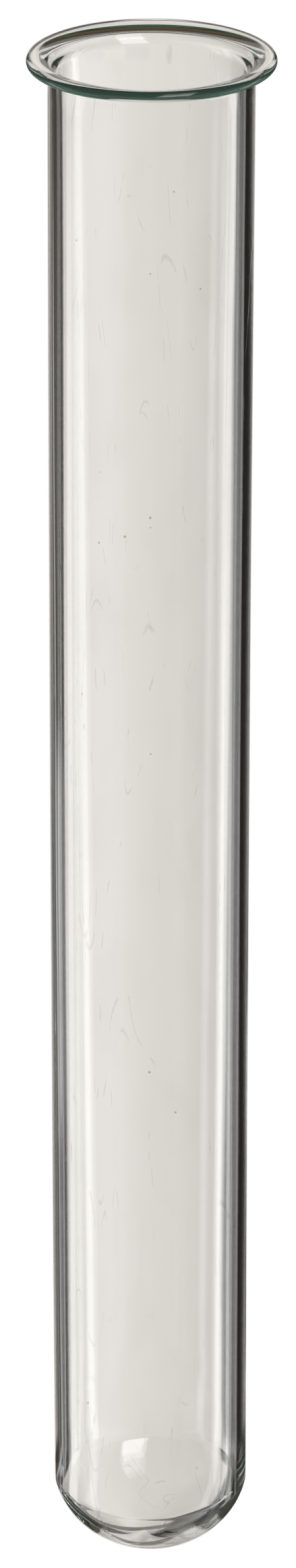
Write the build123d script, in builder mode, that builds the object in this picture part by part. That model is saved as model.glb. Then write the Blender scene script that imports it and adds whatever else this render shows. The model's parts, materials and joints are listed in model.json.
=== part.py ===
from build123d import *

import os

# Round-bottomed glass test tube with a flared lip, in millimetres, +Z up.
# It is one piece of drawn glass: a thin straight wall, closed below by a round bottom and
# opened above into a level lip. The origin is the lowest point of the bottom, on the tube's axis.

# Driving dimensions
length = 130.0  # lowest point of the bottom to the top of the lip
outer_diameter = 16.0  # across the straight wall
wall = 0.7  # thickness of the straight wall
lip_diameter = 19.3  # across the flared lip
lip_thickness = 0.9  # the lip's fire-polished edge is a little thicker than the wall
flare_radius = 1.8  # bend of the bore outwards, over the top of the lip
neck_fillet_radius = 0.5  # bend of the wall outwards, under the lip
bottom_thickness = 0.7  # glass at the lowest point, as thick as the wall
outer_bottom_depth = 5.9  # height over which the outside closes
inner_bottom_depth = 5.4  # height over which the bore closes

# A bottom curve stands upright at the wall and lies level at the axis. Its two handles are shares
# of its depth, at the wall, and of its radius, at the axis: a longer one keeps the curve straight
# for longer.
outer_wall_handle, outer_axis_handle = 0.15, 0.79
inner_wall_handle, inner_axis_handle = 0.29, 0.63

# Worked out from them
outer_radius = outer_diameter / 2
inner_radius = outer_radius - wall
lip_edge_radius = lip_thickness / 2
lip_edge_centre = lip_diameter / 2 - lip_edge_radius
lip_underside = length - lip_thickness
QUARTER_TURN = 90
HALF_TURN = 180
INWARDS, OUTWARDS, UPWARDS = (-1, 0), (1, 0), (0, 1)


def bottom_curve(radius, lowest, depth, wall_handle, axis_handle):
    """Half outline of a round bottom, from the axis out and up to the wall."""
    highest = lowest + depth
    return Bezier(
        (0, lowest),
        (radius * axis_handle, lowest),
        (radius, highest - depth * wall_handle),
        (radius, highest),
    )


with BuildPart() as test_tube:
    with BuildSketch(Plane.XZ):
        with BuildLine():
            # Outside, from the lowest point up to the lip
            outer_bottom = bottom_curve(
                outer_radius, 0, outer_bottom_depth, outer_wall_handle, outer_axis_handle
            )
            outer_wall = Line(outer_bottom @ 1, (outer_radius, lip_underside - neck_fillet_radius))
            neck = JernArc(outer_wall @ 1, UPWARDS, neck_fillet_radius, -QUARTER_TURN)
            underside = Line(neck @ 1, (lip_edge_centre, lip_underside))
            # Round the fire-polished edge and over the top
            edge = JernArc(underside @ 1, OUTWARDS, lip_edge_radius, HALF_TURN)
            top = Line(edge @ 1, (inner_radius + flare_radius, length))
            flare = JernArc(top @ 1, INWARDS, flare_radius, QUARTER_TURN)
            # Inside, from the flare down to the middle of the bottom, and back along the axis
            inner_bottom = bottom_curve(
                inner_radius,
                bottom_thickness,
                inner_bottom_depth,
                inner_wall_handle,
                inner_axis_handle,
            )
            inner_wall = Line(flare @ 1, inner_bottom @ 1)
            middle = Line(inner_bottom @ 0, outer_bottom @ 0)
        make_face()
    revolve(axis=Axis.Z)

test_tube.part.label = "test_tube"

os.makedirs("parts", exist_ok=True)
export_step(test_tube.part, "parts/test_tube.step")
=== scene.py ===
import json
import math

import bpy
import numpy as np
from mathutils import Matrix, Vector, noise


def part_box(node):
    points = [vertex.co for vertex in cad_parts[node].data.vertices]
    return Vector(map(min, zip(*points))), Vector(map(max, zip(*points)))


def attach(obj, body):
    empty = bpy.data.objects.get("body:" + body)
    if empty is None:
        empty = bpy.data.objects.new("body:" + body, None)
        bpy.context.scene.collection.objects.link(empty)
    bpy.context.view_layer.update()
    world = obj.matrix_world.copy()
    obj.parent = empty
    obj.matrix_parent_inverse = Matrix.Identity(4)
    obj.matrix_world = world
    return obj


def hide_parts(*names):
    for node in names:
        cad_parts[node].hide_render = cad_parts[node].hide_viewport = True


# A round-bottomed glass test tube, upright on a white sweep, in metres. The glass is one closed
# lathe mesh that stands for the CAD node, and what is seen in it is the studio round it.

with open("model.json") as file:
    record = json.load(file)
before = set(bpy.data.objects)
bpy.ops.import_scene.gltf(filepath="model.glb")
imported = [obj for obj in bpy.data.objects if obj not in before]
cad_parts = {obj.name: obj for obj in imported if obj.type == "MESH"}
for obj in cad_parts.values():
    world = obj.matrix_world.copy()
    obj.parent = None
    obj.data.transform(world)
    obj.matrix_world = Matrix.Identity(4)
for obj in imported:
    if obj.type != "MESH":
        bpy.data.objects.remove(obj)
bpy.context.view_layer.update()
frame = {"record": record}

MM = 0.001


# ---------------------------------------------------------------------------------------------
# Sizes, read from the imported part
# ---------------------------------------------------------------------------------------------
low_corner, high_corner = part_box("test_tube")
mounts = {mount["name"]: mount for mount in frame["record"]["mounts"]}


def mount_height(name):
    """Height at which a mount of the record begins."""
    return mounts[name]["pos_m"][2]


def mount_radius_and_length(name):
    """Radius and length of a round mount of the record."""
    dims = mounts[name]["dims"]
    return dims["r_mm"] * MM, dims["length_mm"] * MM


OUTER_RADIUS, outer_wall_length = mount_radius_and_length("outer_wall")
INNER_RADIUS, bore_length = mount_radius_and_length("mouth_bore")
TOP = high_corner.z
LIP_RADIUS = (high_corner.x - low_corner.x) / 2
FLARE_RADIUS = TOP - mount_height("mouth_bore")
LIP_THICKNESS = TOP - mount_height("lip_underside")
NECK_FILLET_RADIUS = mount_height("lip_underside") - mount_height("outer_wall")
OUTER_BOTTOM_TOP = mount_height("outer_wall") - outer_wall_length
INNER_BOTTOM_TOP = mount_height("mouth_bore") - bore_length

# The record doesn't hold these, so they repeat the part's own. A bottom curve's handles are shares
# of its depth (at the wall) and of its radius (at the axis).
BOTTOM_THICKNESS = 0.7 * MM
OUTER_HANDLES = (0.15, 0.79)
INNER_HANDLES = (0.29, 0.63)

# Fineness of the mesh: steps along each stretch of the outline, and segments round the axis
BOTTOM_STEPS = 48
WALL_STEPS = 60
NECK_STEPS = 12
UNDERSIDE_STEPS = 3
LIP_STEPS = 24
SEGMENTS = 256

# What drawn glass does on its own: its bore ends askew, its walls wave, and the tube bows
SKEW_TOP = 7.6 * MM
SKEW_SLOPE = 0.28 * MM
SKEW_CURL = 0.4 * MM
SKEW_SHIFT = 0.63 * MM
WAVE_HEIGHT = 0.012 * MM
WAVE_LENGTH = 26 * MM
WAVE_LEVEL = 0.3
WAVES_AROUND = 1.6
BORE_WAVE_START = 7.0
BOW_DEPTH = 0.073 * MM
BOW_HEIGHT = 55 * MM
BOW_REACH = 52 * MM


# ---------------------------------------------------------------------------------------------
# The glass
# ---------------------------------------------------------------------------------------------
def bottom_curve(radius, lowest, highest, handles):
    """Half outline of a round bottom, from the axis out and up to the wall."""
    wall_handle, axis_handle = handles
    depth = highest - lowest
    corners = (
        (0.0, lowest),
        (radius * axis_handle, lowest),
        (radius, highest - depth * wall_handle),
        (radius, highest),
    )
    points = []
    for share in np.linspace(0.0, 1.0, BOTTOM_STEPS):
        rest = 1.0 - share
        weights = (rest**3, 3 * rest**2 * share, 3 * rest * share**2, share**3)
        across = sum(weight * corner[0] for weight, corner in zip(weights, corners))
        up = sum(weight * corner[1] for weight, corner in zip(weights, corners))
        points.append((across, up))
    return points


def arc(centre, radius, start, end, steps):
    """Points on an arc, from one angle in degrees to the other."""
    angles = np.radians(np.linspace(start, end, steps))
    return [(centre[0] + radius * math.cos(a), centre[1] + radius * math.sin(a)) for a in angles]


def run(start, end, steps):
    """Points on a straight run, without its two ends."""
    across = np.linspace(start[0], end[0], steps + 2)[1:-1]
    up = np.linspace(start[1], end[1], steps + 2)[1:-1]
    return list(zip(across, up))


def tube_outline():
    """Half outline of the glass, as points (radius, height): first up the outside and round the
    lip's edge, then over the flare and down the bore."""
    underside = TOP - LIP_THICKNESS
    edge_radius = LIP_THICKNESS / 2
    edge_centre = (LIP_RADIUS - edge_radius, TOP - edge_radius)
    neck_centre = (OUTER_RADIUS + NECK_FILLET_RADIUS, underside - NECK_FILLET_RADIUS)
    flare_centre = (INNER_RADIUS + FLARE_RADIUS, TOP - FLARE_RADIUS)

    outer_bottom = bottom_curve(OUTER_RADIUS, 0.0, OUTER_BOTTOM_TOP, OUTER_HANDLES)
    neck = arc(neck_centre, NECK_FILLET_RADIUS, 180, 90, NECK_STEPS)
    edge = arc(edge_centre, edge_radius, -90, 90, LIP_STEPS)
    outside = outer_bottom + run(outer_bottom[-1], neck[0], WALL_STEPS)
    outside += neck + run(neck[-1], edge[0], UNDERSIDE_STEPS) + edge

    flare = arc(flare_centre, FLARE_RADIUS, 90, 180, LIP_STEPS)
    inner_bottom = bottom_curve(INNER_RADIUS, BOTTOM_THICKNESS, INNER_BOTTOM_TOP, INNER_HANDLES)
    inner_bottom.reverse()
    inside = flare + run(flare[-1], inner_bottom[0], WALL_STEPS) + inner_bottom
    return outside, inside


def lathe(name, outline):
    """A closed mesh of revolution. The outline starts and ends on the axis."""
    angles = np.linspace(0.0, 2 * math.pi, SEGMENTS, endpoint=False)
    points = [(0.0, 0.0, outline[0][1])]
    for radius, height in outline[1:-1]:
        points += [(radius * math.cos(a), radius * math.sin(a), height) for a in angles]
    points.append((0.0, 0.0, outline[-1][1]))
    rings = len(outline) - 2
    last = len(points) - 1
    faces = []
    for i in range(SEGMENTS):
        j = (i + 1) % SEGMENTS
        faces.append((0, 1 + j, 1 + i))
        for ring in range(rings - 1):
            low = 1 + ring * SEGMENTS
            high = low + SEGMENTS
            faces.append((low + i, low + j, high + j, high + i))
        top = last - SEGMENTS
        faces.append((top + i, top + j, last))
    mesh = bpy.data.meshes.new(name)
    mesh.from_pydata(points, [], faces)
    mesh.polygons.foreach_set("use_smooth", [True] * len(faces))
    mesh.update()
    made = bpy.data.objects.new(name, mesh)
    bpy.context.scene.collection.objects.link(made)
    return made


def smooth_step(value):
    """0 below 0, 1 above 1, and a smooth rise between them."""
    share = np.clip(value, 0.0, 1.0)
    return share * share * (3.0 - 2.0 * share)


def skew_bore_end(made, first_inside):
    """The bore's round end isn't centred in the outside's: it lies a little to the left and hangs
    lower on its right. Only the vertices of the bore move, from first_inside on."""
    for vertex in made.data.vertices[first_inside:]:
        depth = (SKEW_TOP - vertex.co.z) / (SKEW_TOP - BOTTOM_THICKNESS)
        share = smooth_step(depth)
        across = vertex.co.x / INNER_RADIUS
        vertex.co.z -= (SKEW_SLOPE * across + SKEW_CURL * across * abs(across)) * share
        vertex.co.x -= SKEW_SHIFT * share


def draw_waves(made):
    """Long shallow waves run up the bore and up the outside. They only ever press inwards."""
    between = (INNER_RADIUS + OUTER_RADIUS) / 2
    for vertex in made.data.vertices:
        side = Vector((vertex.co.x, vertex.co.y, 0.0))
        radius = side.length
        if radius < OUTER_RADIUS / 2:
            continue
        around = side / radius * WAVES_AROUND
        start = BORE_WAVE_START if radius < between else 0.0
        wave = noise.noise(Vector((around.x, around.y, vertex.co.z / WAVE_LENGTH + start)))
        vertex.co += side / radius * min(0.0, (wave - WAVE_LEVEL) * WAVE_HEIGHT)


def bow(made):
    """The middle of the tube stands a little to the left of the lip and of the bottom."""
    away_at_top = (TOP - BOW_HEIGHT) / BOW_REACH
    for vertex in made.data.vertices:
        away = (vertex.co.z - BOW_HEIGHT) / BOW_REACH
        vertex.co.x += BOW_DEPTH * (away**2 - away_at_top**2)


outside, inside = tube_outline()
glass = lathe("test_tube_glass", outside + inside)
skew_bore_end(glass, 1 + (len(outside) - 1) * SEGMENTS)
draw_waves(glass)
bow(glass)
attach(glass, "root")
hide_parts("test_tube")


# ---------------------------------------------------------------------------------------------
# Node helpers
# ---------------------------------------------------------------------------------------------
class Nodes:
    """Adds nodes to a node tree and links them. A value may be a number, a tuple or a socket."""

    def __init__(self, tree):
        self.tree = tree
        tree.nodes.clear()

    def put(self, value, socket):
        """Link the value to the socket if it is a socket itself, and else set it there."""
        if isinstance(value, bpy.types.NodeSocket):
            self.tree.links.new(value, socket)
        else:
            socket.default_value = value

    def add(self, kind, settings=None, **inputs):
        """A node with its settings. Inputs go by name, with _ for a space, or by place, as in i0."""
        made = self.tree.nodes.new(kind)
        for key, value in (settings or {}).items():
            setattr(made, key, value)
        for key, value in inputs.items():
            place = int(key[1:]) if key[1:].isdigit() else key.replace("_", " ")
            self.put(value, made.inputs[place])
        return made

    def math(self, operation, first, second=0.0, third=0.0):
        """Result of the operation on up to three values."""
        made = self.add("ShaderNodeMath", {"operation": operation}, i0=first, i1=second, i2=third)
        return made.outputs[0]

    def ramp(self, value, start, end, low=0.0, high=1.0, kind="SMOOTHSTEP"):
        """Low where the value is at start, high where it is at end, and held beyond both."""
        made = self.add("ShaderNodeMapRange", {"interpolation_type": kind})
        for place, entry in enumerate((value, start, end, low, high)):
            self.put(entry, made.inputs[place])
        return made.outputs[0]

    def mix(self, share, first, second):
        """The first colour where the share is 0, the second where it is 1."""
        made = self.add("ShaderNodeMix", {"data_type": "RGBA"})
        sockets = {socket.identifier: socket for socket in made.inputs}
        self.put(share, sockets["Factor_Float"])
        self.put(first, sockets["A_Color"])
        self.put(second, sockets["B_Color"])
        return next(s for s in made.outputs if s.identifier == "Result_Color")

    def link(self, source, target):
        self.tree.links.new(source, target)


# ---------------------------------------------------------------------------------------------
# Material of the glass
# ---------------------------------------------------------------------------------------------
CLEAN = (0.985, 0.987, 0.980, 1.0)
FILM = (0.955, 0.957, 0.945, 1.0)
SCRATCH = (0.72, 0.72, 0.71, 1.0)
SPECK = (0.35, 0.31, 0.26, 1.0)
FILM_ROUGHNESS = 0.03
NOISE_MIDDLE = 0.5
SCRATCH_WIDTH = 0.0035  # in units of the noise whose middle it follows
SCRATCH_RELIEF = 0.2  # against the ripple's height of 1
RIPPLE_HEIGHT = 0.02 * MM
RIPPLE_STRENGTH = 0.25
GLASS_IOR = 1.52
EDGE_TINT = (0.70, 0.85, 0.775, 1.0)
EDGE_DENSITY = 18.0
# colour and strength of the painted glow: an emission inside the glass that stands in for light
# guided round the lip
PAINTED_GLOW_COLOUR = (0.55, 1.0, 0.8, 1.0)
PAINTED_GLOW_STRENGTH = 1.1


def stretched_noise(nodes, place, stretch, scale, detail=2.0, distortion=0.0):
    """Noise over the glass, stretched along the tube by that factor."""
    squeeze = nodes.add("ShaderNodeMapping", Vector=place, Scale=(1.0, 1.0, 1.0 / stretch))
    made = nodes.add(
        "ShaderNodeTexNoise",
        Vector=squeeze.outputs[0],
        Scale=scale,
        Detail=detail,
        Distortion=distortion,
    )
    return made.outputs[0]


def washing_film(nodes, place):
    """Films left by washing: wide soft clouds drawn out along the tube."""
    clouds = stretched_noise(nodes, place, stretch=2.5, scale=260.0, detail=4.0, distortion=0.6)
    return nodes.ramp(clouds, start=0.45, end=0.75)


def hairline_scratches(nodes, place):
    """Thin lines where a stretched noise crosses its middle, broken up by a second noise."""
    lines = stretched_noise(nodes, place, stretch=7.0, scale=190.0, detail=1.0, distortion=0.4)
    from_middle = nodes.math("ABSOLUTE", nodes.math("SUBTRACT", lines, NOISE_MIDDLE))
    thin = nodes.ramp(from_middle, start=SCRATCH_WIDTH, end=0.0, kind="LINEAR")
    breaks = stretched_noise(nodes, place, stretch=1.0, scale=300.0)
    return nodes.math("MULTIPLY", thin, nodes.ramp(breaks, start=0.56, end=0.62))


def dust_specks(nodes, place):
    """A small dark dot in about one of ten cells."""
    cells = nodes.add("ShaderNodeTexVoronoi", Vector=place, Scale=520.0)
    lottery = nodes.add("ShaderNodeSeparateColor", i0=cells.outputs["Color"]).outputs[0]
    chosen = nodes.ramp(lottery, start=0.90, end=0.91)
    dot = nodes.ramp(cells.outputs["Distance"], start=0.075, end=0.045)
    return nodes.math("MULTIPLY", dot, chosen)


def glass_material():
    """Clear glass, used and washed. Inside it, light loses its red on the way. A faint teal glow is
    painted into the whole glass as an emission in its volume, so long paths inside gather the most
    of it. It stands for the light that runs round in the thick lip and comes out at its edge."""
    made = bpy.data.materials.new("clear_glass")
    made.use_nodes = True
    nodes = Nodes(made.node_tree)
    place = nodes.add("ShaderNodeTexCoord").outputs["Object"]

    film = washing_film(nodes, place)
    scratch = hairline_scratches(nodes, place)
    speck = dust_specks(nodes, place)
    tint = nodes.mix(film, CLEAN, FILM)
    tint = nodes.mix(scratch, tint, SCRATCH)
    tint = nodes.mix(speck, tint, SPECK)
    rough = nodes.ramp(film, start=0.0, end=1.0, high=FILM_ROUGHNESS, kind="LINEAR")
    grain = stretched_noise(nodes, place, stretch=6.0, scale=90.0, detail=1.0)
    relief = nodes.math("ADD", grain, nodes.math("MULTIPLY", scratch, SCRATCH_RELIEF))
    ripple = nodes.add(
        "ShaderNodeBump", Height=relief, Distance=RIPPLE_HEIGHT, Strength=RIPPLE_STRENGTH
    )
    surface = nodes.add(
        "ShaderNodeBsdfPrincipled",
        Base_Color=tint,
        Roughness=rough,
        Normal=ripple.outputs[0],
        IOR=GLASS_IOR,
        Transmission_Weight=1.0,
    )

    body = nodes.add("ShaderNodeVolumeAbsorption", Color=EDGE_TINT, Density=EDGE_DENSITY)
    # painted glow: the glass's volume emits teal light of its own, though it is no lamp
    painted_glow = nodes.add("ShaderNodeEmission", Color=PAINTED_GLOW_COLOUR, Strength=PAINTED_GLOW_STRENGTH)
    volume = nodes.add("ShaderNodeAddShader", i0=body.outputs[0], i1=painted_glow.outputs[0])
    output = nodes.add("ShaderNodeOutputMaterial")
    nodes.link(surface.outputs[0], output.inputs["Surface"])
    nodes.link(volume.outputs[0], output.inputs["Volume"])
    return made


glass.data.materials.append(glass_material())


# ---------------------------------------------------------------------------------------------
# Studio
# ---------------------------------------------------------------------------------------------
SLANT_LEVEL = -24.0  # the elevation at which a slanted card stands between its two azimuths


def card(azimuth, elevation, light, soft=(1.0, 1.0), slant=0.0):
    """A card, curtain or softbox round the tube: its edges in degrees, azimuth 0 ahead and
    growing to the right, its light as linear red, green and blue, and the width of its edges.
    With a slant it moves that many degrees to the right for each degree above SLANT_LEVEL."""
    return {
        "azimuth": azimuth,
        "elevation": elevation,
        "light": light,
        "soft": soft,
        "slant": slant,
    }


def grey(value, warmth=0.0):
    """A grey of that linear brightness, with that share more red and less blue."""
    return (value * (1 + warmth), value, value * (1 - warmth), 1.0)


DARK = grey(0.045, 0.15)
BLACK = grey(0.014, 0.15)

# Each card covers the ones before it.
CARDS = [
    # the room behind the camera, and its darker floor
    card((64, 296), (-90, 5), grey(0.52), soft=(4, 5)),
    card((64, 296), (-90, -50), grey(0.25), soft=(4, 4)),
    # a brown ceiling, and a dim grey patch below it, ahead
    card((-200, 200), (44, 84), (0.11, 0.07, 0.03, 1.0), soft=(1, 12)),
    card((-40, 8), (22, 36), grey(0.17, 0.08), soft=(8, 4)),
    # the backdrop, brightest a little left of its middle
    card((-30, 30), (-90, 16), grey(0.73, 0.05), soft=(1, 4)),
    card((-6, -1), (-90, 16), grey(0.84, 0.04), soft=(4, 4)),
    card((2.5, 30), (-90, 16), grey(0.65, 0.05), soft=(4, 4)),
    # the edge of the table under it
    card((-60, 60), (-52, -46), grey(0.10, 0.10), soft=(4, 2)),
    # the curtains on both sides of it, dark at the left and nearly black at the right
    card((-64, -14.7), (-90, 10), DARK, soft=(2.4, 4)),
    card((10.4, 62), (-90, -31), BLACK, soft=(2.4, 3)),
    card((9.5, 62), (-31, -13), BLACK, soft=(2.6, 3), slant=0.3),
    card((12.5, 62), (-13, 10), BLACK, soft=(2.4, 3)),
    # the pale sweep from which the backdrop hangs
    card((-38, 34), (9, 23), grey(0.66, 0.05), soft=(6, 3)),
    # dim grey strips in and beyond the curtains
    card((-36, -31), (-50, -19), grey(0.45), soft=(3, 2.5), slant=0.95),
    card((-51, -47.5), (-38, -22), grey(0.8), soft=(2, 10)),
    card((-57, -39), (-26.6, -23.4), grey(0.54), soft=(3, 1)),
    card((51, 56.5), (-38, -14), grey(0.6), soft=(2, 10)),
    # softboxes
    card((-80, -64), (-42, -18), grey(1.8), soft=(4, 4)),
    card((-105, -94), (-42, -18), grey(1.7), soft=(5, 4), slant=1.25),
    card((64.5, 76), (-42, -11), grey(2.3), soft=(4, 4)),
    card((77, 89), (-42, -11), grey(2.1), soft=(4, 4), slant=-1.55),
    # dark openings with a pale middle, far to the left and behind on the right
    card((-134, -46), (-8, 4), DARK, soft=(3, 2)),
    card((-104, -76), (-8, 4), grey(0.78, 0.04), soft=(2, 2)),
    card((92, 178), (-16.4, -13.4), DARK, soft=(3, 0.6)),
    card((121, 149), (-16.4, -13.4), grey(0.78, 0.04), soft=(2, 0.6)),
    # a window behind the camera, its upper part behind a blind
    card((157, 195), (34, 58), grey(2.0), soft=(3, 3), slant=-0.4),
    card((157, 189), (8, 34), grey(4.2), soft=(3, 3), slant=-0.35),
]


def studio_world():
    """The cards, for every ray but the camera's own, which sees plain white."""
    world = bpy.data.worlds.new("studio")
    bpy.context.scene.world = world
    world.use_nodes = True
    nodes = Nodes(world.node_tree)
    direction = nodes.add("ShaderNodeTexCoord").outputs["Generated"]
    axes = nodes.add("ShaderNodeSeparateXYZ", i0=direction).outputs
    azimuth = nodes.math("DEGREES", nodes.math("ARCTAN2", axes["X"], axes["Y"]))
    elevation = nodes.math("DEGREES", nodes.math("ARCSINE", axes["Z"]))
    above_level = nodes.math("SUBTRACT", elevation, SLANT_LEVEL)
    light = DARK
    for item in CARDS:
        (left, right), (low, high) = item["azimuth"], item["elevation"]
        soft_azimuth, soft_elevation = (width / 2 for width in item["soft"])
        half = (right - left) / 2
        lean = nodes.math("MULTIPLY", above_level, item["slant"])
        offset = nodes.math("SUBTRACT", nodes.math("SUBTRACT", azimuth, (left + right) / 2), lean)
        aside = nodes.math("ABSOLUTE", nodes.math("WRAP", offset, 180.0, -180.0))
        within = nodes.ramp(aside, half + soft_azimuth, half - soft_azimuth)
        above = nodes.ramp(elevation, low - soft_elevation, low + soft_elevation)
        below = nodes.ramp(elevation, high + soft_elevation, high - soft_elevation)
        share = nodes.math("MULTIPLY", within, nodes.math("MULTIPLY", above, below))
        light = nodes.mix(share, light, item["light"])
    seen = nodes.add("ShaderNodeLightPath").outputs["Is Camera Ray"]
    colour = nodes.mix(seen, light, grey(1.0))
    background = nodes.add("ShaderNodeBackground", Color=colour)
    output = nodes.add("ShaderNodeOutputWorld")
    nodes.link(background.outputs[0], output.inputs["Surface"])


def white_floor():
    """A white floor at the level of the tube's lowest point, which glows plain white so that it
    shows no tone.
    The glass doesn't show it, neither through itself nor by reflection."""
    half = 3.0
    mesh = bpy.data.meshes.new("floor")
    corners = [(-half, -half, 0.0), (half, -half, 0.0), (half, half, 0.0), (-half, half, 0.0)]
    mesh.from_pydata(corners, [], [(0, 1, 2, 3)])
    floor = bpy.data.objects.new("floor", mesh)
    bpy.context.scene.collection.objects.link(floor)
    made = bpy.data.materials.new("white_floor")
    made.use_nodes = True
    nodes = Nodes(made.node_tree)
    shine = nodes.add("ShaderNodeEmission", Color=grey(1.0), Strength=1.0)
    output = nodes.add("ShaderNodeOutputMaterial")
    nodes.link(shine.outputs[0], output.inputs["Surface"])
    mesh.materials.append(made)
    floor.visible_transmission = False
    floor.visible_glossy = False


studio_world()
white_floor()


# ---------------------------------------------------------------------------------------------
# Camera
# ---------------------------------------------------------------------------------------------
CAMERA_PLACE = (-0.00028, -0.4918, 0.2848)
CAMERA_PITCH = math.radians(23.69)  # how far it looks down
CAMERA_LENS = 153.75
SENSOR_WIDTH = 36.0
NEAREST = 0.01
MOST_BOUNCES = 32  # light turns back and forth many times in the lip before it gets out

camera_data = bpy.data.cameras.new("camera")
camera_data.lens = CAMERA_LENS
camera_data.sensor_width = SENSOR_WIDTH
camera_data.clip_start = NEAREST
camera = bpy.data.objects.new("camera", camera_data)
camera.location = CAMERA_PLACE
camera.rotation_euler = (math.pi / 2 - CAMERA_PITCH, 0.0, 0.0)

scene = bpy.context.scene
scene.collection.objects.link(camera)
scene.camera = camera
scene.view_settings.view_transform = "Standard"
scene.cycles.max_bounces = MOST_BOUNCES
scene.cycles.transmission_bounces = MOST_BOUNCES
scene.cycles.glossy_bounces = MOST_BOUNCES
